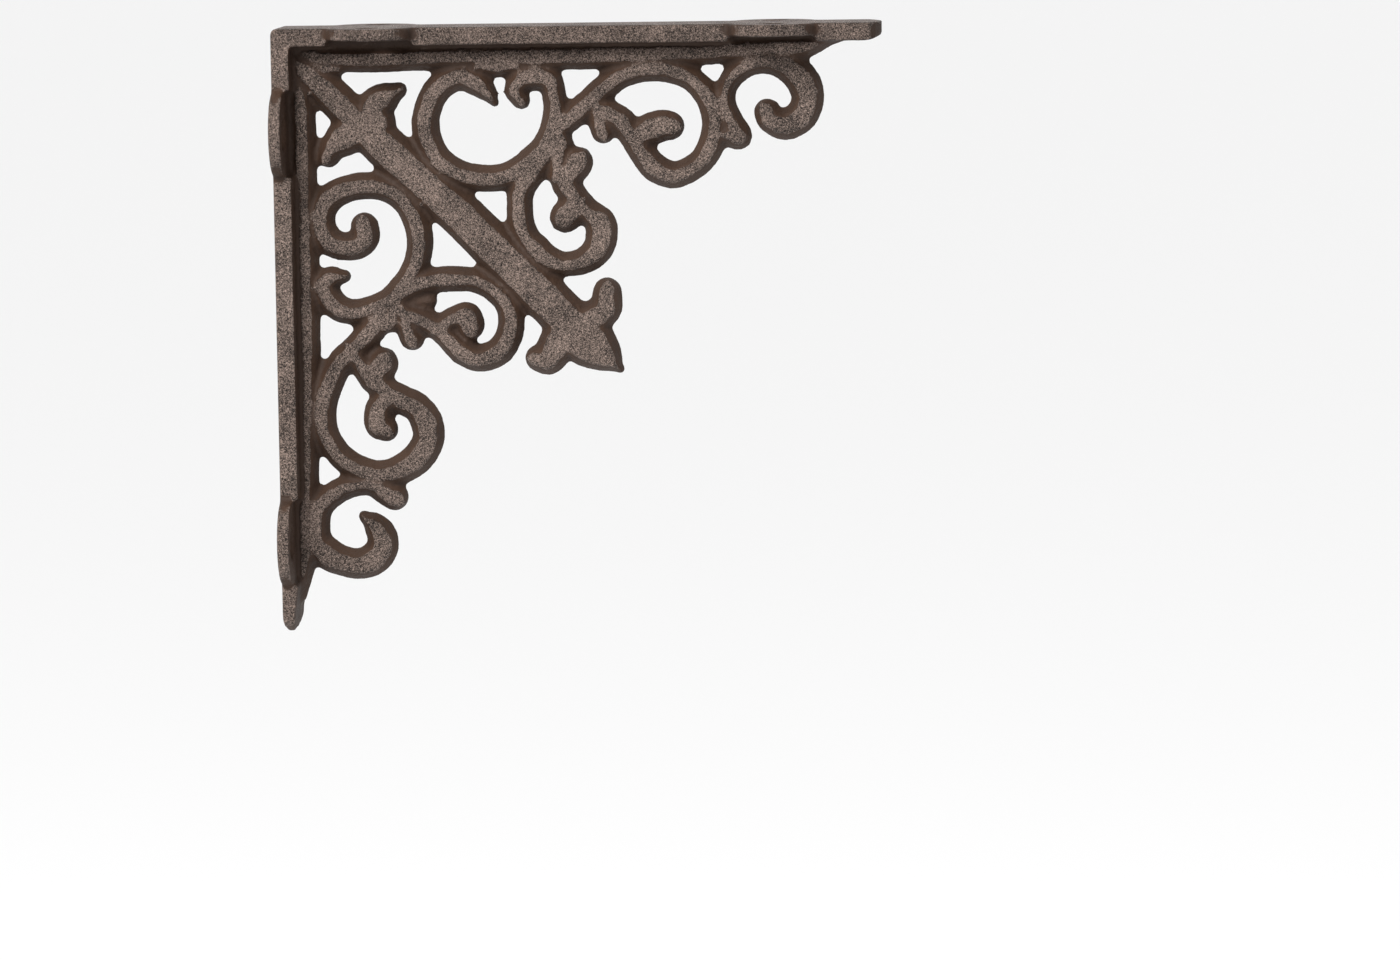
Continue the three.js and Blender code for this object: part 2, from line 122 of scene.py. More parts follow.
# A seat is told by how squarely it faces the wall or the shelf, and by its depth in millimetres
SEAT_SQUARE = (0.9, 0.99)
SEAT_DEPTH = (0.2, 0.6)


def ring(out, down, stations):
    """A stretch of a ring as the compass draws it: its centre, then stations (degrees, radius,
    width share) round it, degrees running from the shelf end downwards."""
    degrees_per_knot = 24
    knots = []
    for (from_angle, from_radius, from_width), (to_angle, to_radius, to_width) in zip(
        stations, stations[1:]
    ):
        steps = max(1, round(abs(to_angle - from_angle) / degrees_per_knot))
        for step in range(steps):
            t = step / steps
            angle = math.radians(from_angle + (to_angle - from_angle) * t)
            radius = from_radius + (to_radius - from_radius) * t
            share = from_width + (to_width - from_width) * t
            knots.append((out + radius * math.cos(angle), down + radius * math.sin(angle), share))
    angle, radius, share = stations[-1]
    last = math.radians(angle)
    knots.append((out + radius * math.cos(last), down + radius * math.sin(last), share))
    return knots


# Bars of the fretwork as knots [out, down, width share]. A share of 1 is the full width of
# the bar, and a small one at an end makes a pointed tip.

# The scrolls between the diagonal and the shelf
SHELF_RING = [
    (44, 13.5, 0.34),
    (42.5, 11.3, 0.75),
    (40.1, 9.1, 1),
    (37, 7.6, 1.06),
    *ring(43, 17, [
        (-139, 12.6, 1.03),
        (-157, 13.5, 1.03),
        (-184, 14.3, 1.03),
        (-215, 14.4, 1.02),
        (-260, 13.2, 1),
        (-312, 13, 1.05),
        (-361, 14.5, 1.02),
        (-378, 14.9, 0.9),
        (-392, 15.3, 1),
    ]),
    (53.3, 7.9, 1.12),
    (50.3, 8.6, 1),
    (48.8, 11, 0.88),
    (49.8, 13, 0.72),
]
SHELF_RING_SADDLE = [
    (40.8, 5.5, 0.65),
    (45, 5.4, 0.92),
    (49.2, 5.7, 0.65),
]
SHELF_LEAF = [
    (57.3, 19.6, 1),
    (60.9, 17, 1),
    (64.5, 14.2, 1),
    (68, 11, 0.97),
    (72.1, 8.2, 0.97),
    *ring(80.7, 17.9, [
        (-108, 11.6, 1),
        (-83, 11, 1.04),
        (-50, 10.7, 0.9),
        (-23, 11.2, 1.02),
        (13, 11.9, 1.02),
        (50, 12.7, 0.96),
        (78, 12.6, 1),
        (98, 10.9, 1.07),
        (120, 8.6, 1),
        (150, 7.5, 1),
    ]),
    (71.8, 18.3, 1.05),
    (68.9, 16.2, 0.98),
]
SHELF_LEAF_EYE = [
    (75.2, 21.3, 1.05),
    (77.9, 20.2, 1.2),
    (81, 19.4, 1.18),
    (82.2, 19.5, 1.1),
]
SHELF_LEAF_BUD = [
    (66.7, 14.7, 0.78),
    (67, 17.6, 0.9),
    (67.7, 20.3, 0.9),
]
SHELF_END_SCROLL = [
    (93.8, 21.5, 0.8),
    (97.6, 22.3, 0.93),
    *ring(103.5, 14.5, [
        (150, 8.8, 0.93),
        (176, 9, 0.84),
        (198, 9.1, 0.8),
        (222, 9, 0.86),
        (251, 8.9, 0.97),
        (280, 8.8, 1.07),
        (309, 8.8, 1.18),
        (336, 9.1, 1.25),
        (360, 9.1, 1.19),
        (385, 8.3, 1.21),
        (412, 6.6, 1.18),
        (436, 4.1, 1.06),
    ]),
    (103.8, 17.2, 1.02),
]
SHELF_HOOK = [
    (57.2, 22.2, 1),
    (54.3, 25.4, 1.13),
    (51.6, 29.1, 1.1),
    *ring(59.8, 38.8, [
        (-151, 11.8, 1),
        (-170, 10.8, 0.99),
        (-192, 10.4, 0.99),
        (-216, 10.1, 0.97),
        (-242, 10.3, 1.02),
        (-265, 10.5, 0.92),
        (-288, 10.3, 1),
        (-310, 9.7, 1.13),
        (-329, 8.5, 1.19),
        (-348, 7.1, 1.16),
    ]),
    (64.3, 37.9, 0.97),
    (61.3, 34.4, 1),
    (59.5, 31, 1.14),
    (62, 27.1, 1.16),
]
SHELF_HOOK_WEB = [
    (58.4, 22.9, 0.98),
    (57.5, 29.5, 0.8),
]
SHELF_HOOK_FILL = [
    (48.6, 40.6, 0.6),
    (52.6, 45, 0.9),
    (57, 49.2, 0.7),
]
SHELF_HOOK_EYE = [
    (62.3, 35.6, 0.84),
    (60.1, 37.1, 1),
    (58.9, 39.2, 1.1),
    (60.9, 38.2, 1.03),
]

# The scrolls between the diagonal and the wall
WALL_RING = [
    (14.9, 40.1, 1.04),
    (15.1, 42.4, 1.05),
    (13.3, 44, 1.08),
    (10.5, 44.3, 1.05),
    (7.4, 43.2, 1.08),
    (5.5, 39.9, 1.06),
    *ring(12.9, 44.9, [
        (-131, 11.2, 1.06),
        (-115, 12.6, 1.06),
        (-97, 13.3, 1.02),
        (-61, 14.9, 1.02),
        (-43, 15.1, 1),
        (-6, 14.2, 1),
        (36, 13.3, 0.95),
        (79, 13.6, 0.94),
        (96, 13.9, 0.97),
        (110, 13.3, 1.03),
        (124, 11.8, 1.03),
    ]),
    (5.7, 52.7, 1),
    (7.5, 51.2, 0.9),
    (10.1, 50.9, 0.54),
]
WALL_STEM = [
    (22.7, 54.3, 0.85),
    (19.3, 57.3, 1),
    (16.6, 62.1, 1.06),
    (12.8, 66.3, 0.99),
    *ring(17.7, 83.5, [
        (-123, 16, 1.03),
        (-141, 14.4, 1.03),
        (-159, 13.5, 1.03),
        (-198, 12.1, 0.97),
        (-221, 11.5, 0.97),
        (-246, 11.2, 1),
        (-271, 11.2, 1),
        (-295, 11.1, 1.12),
        (-319, 11.2, 1.19),
        (-342, 11, 1.19),
        (-364, 9.8, 1.2),
        (-384, 8.5, 1.1),
        (-408, 6.9, 1.08),
        (-439, 7.4, 1),
    ]),
    (16.6, 73.3, 1.16),
    (18.2, 70.5, 1.22),
]
WALL_STEM_EYE = [
    (20.9, 77.8, 1),
    (18.2, 79.1, 1.06),
    (17.2, 81.7, 1.13),
    (17.5, 83.9, 1.13),
    (18.6, 84.7, 0.97),
]
WALL_STEM_WEB = [
    (21.8, 55.7, 1),
    (20.3, 60.3, 1.08),
]
WALL_STEM_NECK = [
    (11.4, 66.9, 0.8),
    (13.8, 70.5, 0.94),
    (16, 74, 0.96),
]
WALL_HOOK = [
    (22.9, 55.1, 0.9),
    (25.8, 53.2, 1),
    (29.8, 52.2, 0.97),
    *ring(37.1, 61, [
        (-105, 9.3, 0.97),
        (-76, 8.8, 0.91),
        (-46, 8.9, 0.93),
        (-19, 9.5, 0.95),
        (5, 9.8, 1),
        (29, 10, 1.03),
        (50, 9.8, 1.06),
        (74, 8.9, 1.03),
        (96, 7.3, 1),
        (128, 5.8, 0.97),
    ]),
    (30.7, 62.8, 0.93),
    (27.4, 61, 0.97),
    (23.9, 59.5, 0.94),
]
WALL_HOOK_WEB = [
    (25.3, 56.5, 0.84),
    (28.2, 56.6, 0.8),
]
WALL_HOOK_EYE = [
    (31.3, 62.6, 0.94),
    (34.2, 60.8, 0.92),
    (37, 60.5, 1.14),
    (37.6, 62, 1.14),
]
WALL_HOOK_BUD = [
    (23.5, 59.3, 0.84),
    (24.1, 62.2, 0.94),
    (24.9, 64.7, 0.94),
]
WALL_END_SCROLL = [
    (13.6, 104.1, 0.46),
    (15.6, 105.7, 0.9),
    *ring(10.2, 106.7, [
        (12, 7.2, 1.12),
        (30, 8.4, 1.18),
        (51, 8.7, 1.22),
        (75, 8.2, 1.16),
        (101, 7.4, 1.13),
        (130, 7.4, 1.22),
        (159, 7.6, 1.13),
        (190, 7.7, 1.13),
        (218, 8.1, 1.03),
        (248, 8.4, 0.94),
        (275, 9.5, 0.9),
    ]),
    (15.3, 97.1, 0.9),
    (18.3, 98.6, 1.03),
    (20.3, 99.8, 1.06),
]

# The diagonal arrow: its shaft, the two barbs at its tail and the two at its head
BRACE = [
    (1.1, 4, 0.61),
    (5, 7.9, 0.74),
    (8.7, 11.5, 0.78),
    (13.8, 16.8, 0.81),
    (18.8, 21.7, 0.91),
    (28.2, 30.6, 0.94),
    (34.8, 36.6, 0.94),
    (45.6, 47.5, 0.98),
    (53.4, 55.4, 1),
    (57.2, 59.4, 0.98),
    (61.3, 63.8, 1.06),
    (64.4, 66.8, 1.1),
    (68.1, 70.1, 0.72),
    (70.6, 72.5, 0.22),
]
CORNER_FILL = [
    (2.6, 3, 0.7),
    (6.5, 4.9, 0.9),
    (9.4, 5.6, 0.55),
]
TAIL_BARB_SHELF = [
    (17.3, 17.4, 0.95),
    (18, 13.7, 0.8),
    (20.6, 11.6, 0.63),
    (22.9, 10.4, 0.37),
]
TAIL_BARB_WALL = [
    (14.3, 18.1, 0.94),
    (10.6, 20.6, 0.8),
    (8, 23, 0.58),
    (7.4, 24.1, 0.53),
]
HEAD_BARB_SHELF = [
    (60, 62.9, 0.9),
    (64.5, 61.5, 0.78),
    (67.6, 59.1, 0.7),
    (68.1, 55.8, 0.63),
]
HEAD_BARB_WALL = [
    (58.8, 64.5, 0.98),
    (56.5, 67.7, 0.81),
    (54.8, 70.1, 0.68),
    (53.1, 69.9, 0.61),
]

# The rails under the shelf plate and along the wall plate, running out into the plates' noses
SHELF_RAIL = [
    (-0.6, 1.2, 0.8),
    (10, 3.1, 0.95),
    (34.2, 3.2, 0.97),
    (56.3, 3.6, 1.02),
    (78.3, 3.6, 1.02),
    (100.4, 3.1, 0.97),
    (111.5, 2.8, 0.94),
    (118.1, 1, 0.56),
    (124, -0.6, 0.4),
]
WALL_RAIL = [
    (-0.6, 1.2, 0.8),
    (1.4, 12, 0.96),
    (1.6, 34, 1),
    (1.8, 56.1, 0.98),
    (1.4, 78.2, 0.98),
    (0.6, 100.2, 0.97),
    (0.6, 110.2, 1.02),
    (-0.3, 116.1, 0.8),
    (-1, 121.5, 0.5),
]

# Each kind of bar: its knots, its full width, how far it stands out and how broad its shoulders are
FRETWORK = [
    ([SHELF_RING, SHELF_LEAF, SHELF_END_SCROLL, SHELF_HOOK], SCROLL_WIDTH, SCROLL_HEIGHT, SHOULDER),
    ([WALL_RING, WALL_STEM, WALL_HOOK, WALL_END_SCROLL], SCROLL_WIDTH, SCROLL_HEIGHT, SHOULDER),
    ([SHELF_LEAF_EYE, SHELF_HOOK_EYE, WALL_STEM_EYE, WALL_HOOK_EYE], SCROLL_WIDTH, CURL_HEIGHT, SHOULDER),
    ([SHELF_RING_SADDLE, SHELF_HOOK_WEB, SHELF_HOOK_FILL], SCROLL_WIDTH, CURL_HEIGHT, SHOULDER),
    ([WALL_STEM_WEB, WALL_STEM_NECK], SCROLL_WIDTH, CURL_HEIGHT, SHOULDER),
    ([WALL_HOOK_WEB], SCROLL_WIDTH, WEB_HEIGHT, SHOULDER),
    ([CORNER_FILL], SCROLL_WIDTH, SCROLL_HEIGHT, SHOULDER),
    ([SHELF_LEAF_BUD, WALL_HOOK_BUD], SCROLL_WIDTH, BUD_HEIGHT, SHOULDER),
    ([SHELF_RAIL, WALL_RAIL], RAIL_WIDTH, RAIL_HEIGHT, SHOULDER),
    ([BRACE], BRACE_WIDTH, BRACE_HEIGHT, BRACE_SHOULDER),
    ([TAIL_BARB_SHELF, TAIL_BARB_WALL], BRACE_WIDTH, BRACE_HEIGHT, BRACE_SHOULDER),
    ([HEAD_BARB_SHELF, HEAD_BARB_WALL], BRACE_WIDTH, BRACE_HEIGHT, BRACE_SHOULDER),
]


class Field:
    """One socket of a node tree. Sums on fields become Math nodes, or Vector Math on vectors."""

    def __init__(self, tree, socket):
        self.tree = tree
        self.socket = socket

    def __add__(self, other):
        return self.tree.sum("ADD", self, other)

    def __radd__(self, other):
        return self.tree.sum("ADD", other, self)

    def __sub__(self, other):
        return self.tree.sum("SUBTRACT", self, other)

    def __rsub__(self, other):
        return self.tree.sum("SUBTRACT", other, self)

    def __mul__(self, other):
        return self.tree.sum("MULTIPLY", self, other)

    def __rmul__(self, other):
        return self.tree.sum("MULTIPLY", other, self)

    def __truediv__(self, other):
        return self.tree.sum("DIVIDE", self, other)

    def __neg__(self):
        return self * -1.0


class Tree:
    """A node tree being wired up, for a finish or for a shape."""

    def __init__(self, tree):
        self.tree = tree
        tree.nodes.clear()

    def node(self, kind, settings=None, inputs=None, output=0):
        """Adds a node: its settings first, then a value or a field for each named socket."""
        made = self.tree.nodes.new(kind)
        for name, value in (settings or {}).items():
            setattr(made, name, value)
        for name, value in (inputs or {}).items():
            socket = self.pick(made.inputs, name)
            if isinstance(value, Field):
                self.tree.links.new(value.socket, socket)
            else:
                socket.default_value = value
        return Field(self, self.pick(made.outputs, output))

    @staticmethod
    def pick(sockets, name):
        shown = [socket for socket in sockets if socket.enabled]
        if isinstance(name, int):
            return shown[name]
        return next(socket for socket in shown if socket.name == name)

    def other(self, field, output):
        """Another output of the node that a field comes from."""
        return Field(self, self.pick(field.socket.node.outputs, output))

    def sum(self, operation, first, second):
        vectors = [f for f in (first, second) if isinstance(f, Field) and f.socket.type == "VECTOR"]
        kind = "ShaderNodeVectorMath" if vectors else "ShaderNodeMath"
        return self.node(kind, {"operation": operation}, {0: first, 1: second})

    def math(self, operation, *values, clamp=False):
        settings = {"operation": operation, "use_clamp": clamp}
        return self.node("ShaderNodeMath", settings, dict(enumerate(values)))

    def scaled(self, vector, factor):
        settings = {"operation": "SCALE"}
        return self.node("ShaderNodeVectorMath", settings, {"Vector": vector, "Scale": factor})

    def dot(self, first, second):
        settings = {"operation": "DOT_PRODUCT"}
        return self.node("ShaderNodeVectorMath", settings, {0: first, 1: second}, "Value")

    def separate(self, vector):
        first = self.node("ShaderNodeSeparateXYZ", {}, {"Vector": vector}, "X")
        return first, self.other(first, "Y"), self.other(first, "Z")

    def combine(self, x, y, z):
        return self.node("ShaderNodeCombineXYZ", {}, {"X": x, "Y": y, "Z": z})

    def ramp(self, value, low, high):
        """0 where a value is under low, 1 over high, and an eased rise between."""
        settings = {"interpolation_type": "SMOOTHSTEP"}
        return self.node(
            "ShaderNodeMapRange", settings, {"Value": value, "From Min": low, "From Max": high}
        )


class Shape(Tree):
    """A Geometry Nodes tree with named inputs, put on an object and then made into plain mesh."""

    def __init__(self, name):
        group = bpy.data.node_groups.new(name, "GeometryNodeTree")
        super().__init__(group)
        group.interface.new_socket("Geometry", in_out="INPUT", socket_type="NodeSocketGeometry")
        group.interface.new_socket("Geometry", in_out="OUTPUT", socket_type="NodeSocketGeometry")
        self.entry = group.nodes.new("NodeGroupInput")
        self.geometry = Field(self, self.entry.outputs[0])
        self.values = {}

    def size(self, name, value, kind="NodeSocketFloat"):
        """A named input of the tree and the value it is set to on the object."""
        socket = self.tree.interface.new_socket(name, in_out="INPUT", socket_type=kind)
        self.values[socket.identifier] = value
        return Field(self, self.entry.outputs[name])

    def named(self, name):
        settings = {"data_type": "FLOAT"}
        return self.node("GeometryNodeInputNamedAttribute", settings, {"Name": name}, "Attribute")

    def store(self, geometry, name, value):
        settings = {"data_type": "FLOAT", "domain": "POINT"}
        inputs = {"Geometry": geometry, "Name": name, "Value": value}
        return self.node("GeometryNodeStoreNamedAttribute", settings, inputs)

    def move(self, geometry, **places):
        inputs = {"Geometry": geometry}
        inputs.update({name.capitalize(): value for name, value in places.items()})
        return self.node("GeometryNodeSetPosition", {}, inputs)

    def boxed(self, place):
        """A place brought inside the pattern's box."""
        low = {"operation": "MAXIMUM"}
        high = {"operation": "MINIMUM"}
        held = self.node("ShaderNodeVectorMath", low, {0: place, 1: cad_low})
        return self.node("ShaderNodeVectorMath", high, {0: held, 1: cad_high})

    def apply(self, piece, geometry, finish):
        """Ends the tree, runs it on the piece and leaves the piece as a plain mesh."""
        real = self.node("GeometryNodeRealizeInstances", {}, {"Geometry": geometry})
        clad = self.node("GeometryNodeSetMaterial", {}, {"Geometry": real, "Material": finish})
        leave = self.tree.nodes.new("NodeGroupOutput")
        self.tree.links.new(clad.socket, leave.inputs[0])
        modifier = piece.modifiers.new(self.tree.name, "NODES")
        modifier.node_group = self.tree
        for identifier, value in self.values.items():
            modifier[identifier] = value
        settle(piece)


def settle(piece):
    """Makes what a piece's modifiers show into its plain mesh, and takes the modifiers off."""
    bpy.context.view_layer.update()
    shown = piece.evaluated_get(bpy.context.evaluated_depsgraph_get())
    mesh = bpy.data.meshes.new_from_object(shown)
    piece.modifiers.clear()
    old = piece.data
    piece.data = mesh
    bpy.data.meshes.remove(old)


def new_object(name, mesh):
    piece = bpy.data.objects.new(name, mesh)
    bpy.context.scene.collection.objects.link(piece)
    return piece


def bend_through(knots, width):
    """Fine points [x, z, half width] of a smooth path through the knots, in millimetres."""
    points = [
        Vector((PLATE_THICKNESS + out, PATTERN_RISE * out - PLATE_THICKNESS - down, share * width / 2))
        for out, down, share in knots
    ]
    points.insert(0, 2 * points[0] - points[1])
    points.append(2 * points[-1] - points[-2])
    path = []
    for before, start, end, after in zip(points, points[1:], points[2:], points[3:]):
        gaps = [math.sqrt((b - a).length) for a, b in ((before, start), (start, end), (end, after))]
        leave = (start - before) / gaps[0] - (end - before) / (gaps[0] + gaps[1])
        leave = (leave + (end - start) / gaps[1]) * gaps[1]
        arrive = (end - start) / gaps[1] - (after - start) / (gaps[1] + gaps[2])
        arrive = (arrive + (after - end) / gaps[2]) * gaps[1]
        for sample in range(SAMPLES_PER_KNOT):
            t = sample / SAMPLES_PER_KNOT
            path.append(
                start * (2 * t**3 - 3 * t**2 + 1)
                + leave * (t**3 - 2 * t**2 + t)
                + end * (3 * t**2 - 2 * t**3)
                + arrive * (t**3 - t**2)
            )
    path.append(points[-2])
    return path


def rounded_ends(path):
    """The path run on at both ends, narrowing as the quarter of a circle does."""
    ends = []
    for tip, inner in ((path[0], path[1]), (path[-1], path[-2])):
        way = Vector((tip.x - inner.x, tip.y - inner.y)).normalized()
        cap = []
        for step in range(1, CAP_STEPS):
            angle = step / CAP_STEPS * math.pi / 2
            reach = tip.z * math.sin(angle)
            cap.append(Vector((tip.x + way.x * reach, tip.y + way.y * reach, tip.z * math.cos(angle))))
        ends.append(cap)
    return ends[0][::-1] + path + ends[1]


def fretwork_wires():
    """The middle lines of all the bars, each point with its half width, height and shoulder."""
    points, edges, sizes = [], [], []
    for bars, width, height, shoulder in FRETWORK:
        for knots in bars:
            path = rounded_ends(bend_through(knots, width))
            first = len(points)
            points += [(x * MM, 0, cad_high.z + z * MM) for x, z, half in path]
            edges += [(first + i, first + i + 1) for i in range(len(path) - 1)]
            sizes += [(half * MM, height * MM, shoulder * MM) for x, z, half in path]
    mesh = bpy.data.meshes.new("fretwork")
    mesh.from_pydata(points, edges, [])
    for place, name in enumerate(("half_width", "height", "shoulder")):
        layer = mesh.attributes.new(name, "FLOAT", "POINT")
        layer.data.foreach_set("value", [size[place] for size in sizes])
    return new_object("fretwork", mesh)


def sweep_bars(wires, finish):
    """Gives every wire its section: drafted sides, round shoulders and a slightly crowned land."""
    shape = Shape("Swept bars")
    sides = shape.size("Section points", SECTION_POINTS, "NodeSocketInt")
    crown = shape.size("Crown", CROWN)
    line = shape.node("GeometryNodeMeshToCurve", {}, {"Mesh": shape.geometry})
    spine_here = shape.node("GeometryNodeInputPosition")
    along_here = shape.node("GeometryNodeInputTangent")
    for name, field in (("spine", spine_here), ("along", along_here)):
        settings = {"data_type": "FLOAT_VECTOR", "domain": "POINT"}
        inputs = {"Geometry": line, "Name": name, "Value": field}
        line = shape.node("GeometryNodeStoreNamedAttribute", settings, inputs)
    hoop = shape.node("GeometryNodeCurvePrimitiveCircle", {}, {"Resolution": sides, "Radius": 1.0})
    turn = shape.node("GeometryNodeInputIndex") / sides * math.tau
    hoop = shape.store(hoop, "turn", turn)
    inputs = {"Curve": line, "Profile Curve": hoop, "Fill Caps": True}
    swept = shape.node("GeometryNodeCurveToMesh", {}, inputs)
    vectors = []
    for name in ("spine", "along"):
        settings = {"data_type": "FLOAT_VECTOR"}
        vectors.append(
            shape.node("GeometryNodeInputNamedAttribute", settings, {"Name": name}, "Attribute")
        )
    spine, along = vectors
    share = shape.math("COSINE", shape.named("turn"))
    face = shape.math("SIGN", shape.math("SINE", shape.named("turn")))
    half = shape.named("half_width")
    from_edge = (1.0 - shape.math("ABSOLUTE", share)) * half
    climb = shape.math("DIVIDE", from_edge, shape.named("shoulder"), clamp=True)
    rise = shape.node("ShaderNodeFloatCurve", {}, {"Value": climb})
    gauge = rise.socket.node.mapping.curves[0]
    for x, y in SHOULDER_CLIMB:
        gauge.points.new(x, y)
    rise.socket.node.mapping.update()
    height = shape.named("height") * rise * (1.0 - share * share * crown)
    across = shape.node(
        "ShaderNodeVectorMath", {"operation": "CROSS_PRODUCT"}, {0: along, 1: (0, 1, 0)}
    )
    across = shape.node("ShaderNodeVectorMath", {"operation": "NORMALIZE"}, {0: across})
    place = spine + shape.scaled(across, share * half) + shape.combine(0.0, face * height, 0.0)
    shape.apply(wires, shape.move(swept, position=place), finish)


def box_loft(sections, put):
    """A closed body through sections (along, half width, outer, inner) of a plate."""
    body = bmesh.new()
    rows = []
    for along, half, outer, inner in sections:
        corners = ((-half, outer), (half, outer), (half, inner), (-half, inner))
        rows.append([body.verts.new(put(along, across, deep)) for across, deep in corners])
    body.faces.new(rows[0])
    body.faces.new(rows[-1])
    for row, following in zip(rows, rows[1:]):
        for i in range(4):
            body.faces.new((row[i], row[(i + 1) % 4], following[(i + 1) % 4], following[i]))
    return body


def strip_sections(arm, nose, taper):
    """The plate itself: rounded at the corner of the L, thinned and drawn in at its nose."""
    side = PLATE_WIDTH / 2
    near_nose = EAR_THICKNESS if taper else PLATE_THICKNESS
    outer_cut = (EAR_THICKNESS - nose) / 2
    sections = []
    for step in range(CORNER_STEPS + 1):
        angle = step / CORNER_STEPS * math.pi / 2
        along = CORNER_RADIUS * (1 - math.cos(angle))
        sections.append((along, side, CORNER_RADIUS * (1 - math.sin(angle)), PLATE_THICKNESS))
    if taper:
        sections.append((arm - taper, side, 0, PLATE_THICKNESS))
    for step in range(NOSE_STEPS + 1):
        t = step / NOSE_STEPS
        bow = t * t
        half = side + (NOSE_WIDTH / 2 - side) * bow
        inner = near_nose + (outer_cut + nose - near_nose) * bow
        sections.append((arm - NOSE_LENGTH * (1 - t), half, outer_cut * bow, inner))
    return sections


def extruded(outline, outer, inner, put):
    body = bmesh.new()
    low = [body.verts.new(put(along, across, outer)) for along, across in outline]
    high = [body.verts.new(put(along, across, inner)) for along, across in outline]
    body.faces.new(low)
    body.faces.new(high[::-1])
    for i in range(len(outline)):
        j = (i + 1) % len(outline)
        body.faces.new((low[i], high[i], high[j], low[j]))
    return body


def ear_outline(along):
    """A pair of ears: a round on each side of the plate, bridged across it."""
    outline = []
    for way in (1, -1):
        for step in range(ROUND_SIDES + 1):
            angle = step / ROUND_SIDES * math.pi
            x = along + way * EAR_RADIUS * math.cos(angle)
            outline.append((x, way * (EAR_SPREAD / 2 + EAR_RADIUS * math.sin(angle))))
    return outline


def screw_cutter(along, across, put):
    """The hole for one screw, opened out on the inner face for its head."""
    spare = 1
    slope = (SINK_WIDTH - SCREW_HOLE) / 2 / SINK_DEPTH
    hole = SCREW_HOLE / 2
    levels = (
        (-spare, hole),
        (EAR_THICKNESS - SINK_DEPTH, hole),
        (PLATE_THICKNESS + spare, hole + slope * (PLATE_THICKNESS + spare - EAR_THICKNESS + SINK_DEPTH)),
    )
    body = bmesh.new()
    rows = []
    for deep, radius in levels:
        row = []
        for step in range(ROUND_SIDES):
            angle = step / ROUND_SIDES * math.tau
            x = along + radius * math.cos(angle)
            row.append(body.verts.new(put(x, across + radius * math.sin(angle), deep)))
        rows.append(row)
    body.faces.new(rows[0])
    body.faces.new(rows[-1])
    for row, following in zip(rows, rows[1:]):
        for i in range(ROUND_SIDES):
            j = (i + 1) % ROUND_SIDES
            body.faces.new((row[i], row[j], following[j], following[i]))
    return body


def ear_pocket(along, way, put):
    """What is taken off the plate over an ear, so that it is no thicker there than the ear,
    but for a neck along the middle that carries the rail."""
    outline = []
    for step in range(ROUND_SIDES):
        angle = step / ROUND_SIDES * math.tau
        across = max(EAR_SPREAD / 2 + EAR_RADIUS * math.sin(angle), POCKET_NECK / 2)
        outline.append((along + EAR_RADIUS * math.cos(angle), way * across))
    spare = 1
    return extruded(outline, EAR_THICKNESS, PLATE_THICKNESS + spare, put)


def gather(name, bodies):
    """One object from several closed bodies, each with its faces pointing out."""
    whole = bmesh.new()
    for body in bodies:
        bmesh.ops.recalc_face_normals(body, faces=body.faces)
        mesh = bpy.data.meshes.new(name)
        body.to_mesh(mesh)
        body.free()
        whole.from_mesh(mesh)
        bpy.data.meshes.remove(mesh)
    mesh = bpy.data.meshes.new(name)
    whole.to_mesh(mesh)
    whole.free()
    return new_object(name, mesh)


def under_shelf(along, across, deep):
    return Vector((along * MM, across * MM, cad_high.z - deep * MM))


def down_wall(along, across, deep):
    return Vector((deep * MM, across * MM, cad_high.z - along * MM))


def plates():
    """Both plates with their ears, holes cut and sunk."""
    solids, cutters = [], []
    for arm, ears, nose, taper, put in (
        (SHELF_ARM, SHELF_EARS, SHELF_NOSE, 0, under_shelf),
        (WALL_ARM, WALL_EARS, WALL_NOSE, WALL_TAPER, down_wall),
    ):
        solids.append(box_loft(strip_sections(arm, nose, taper), put))
        for along in ears:
            solids.append(extruded(ear_outline(along), 0, EAR_THICKNESS, put))
            for way in (-1, 1):
                cutters.append(screw_cutter(along, way * SCREW_SPACING / 2, put))
                cutters.append(ear_pocket(along, way, put))
    piece = gather("plates", solids)
    drill = gather("drill", cutters)
    cut = piece.modifiers.new("screw holes", "BOOLEAN")
    cut.operation = "DIFFERENCE"
    cut.solver = "EXACT"
    cut.use_self = True
    cut.object = drill
    settle(piece)
    bpy.data.objects.remove(drill)
    return piece


def join(name, pieces):
    """Several meshes in one object, and the pieces themselves gone."""
    whole = bmesh.new()
    for piece in pieces:
        whole.from_mesh(piece.data)
    mesh = bpy.data.meshes.new(name)
    whole.to_mesh(mesh)
    whole.free()
    for piece in pieces:
        bpy.data.objects.remove(piece)
    return new_object(name, mesh)


def cast_skin(piece):
    """One closed skin over all the bars and plates. Swelling it and drawing it back by the same
    amount fills the creases where bars meet, and easing it rounds the corners as sand does."""
    for swell in (0, FILLET, -FILLET):
        if swell:
            grow = piece.modifiers.new("swell", "DISPLACE")
            grow.strength = swell * MM
            grow.mid_level = 0
        net = piece.modifiers.new("net", "REMESH")
        net.mode = "VOXEL"
        net.voxel_size = NET * MM
        net.use_smooth_shade = True
    ease = piece.modifiers.new("ease", "SMOOTH")
    ease.factor = EASING_SHARE
    ease.iterations = EASING
    settle(piece)


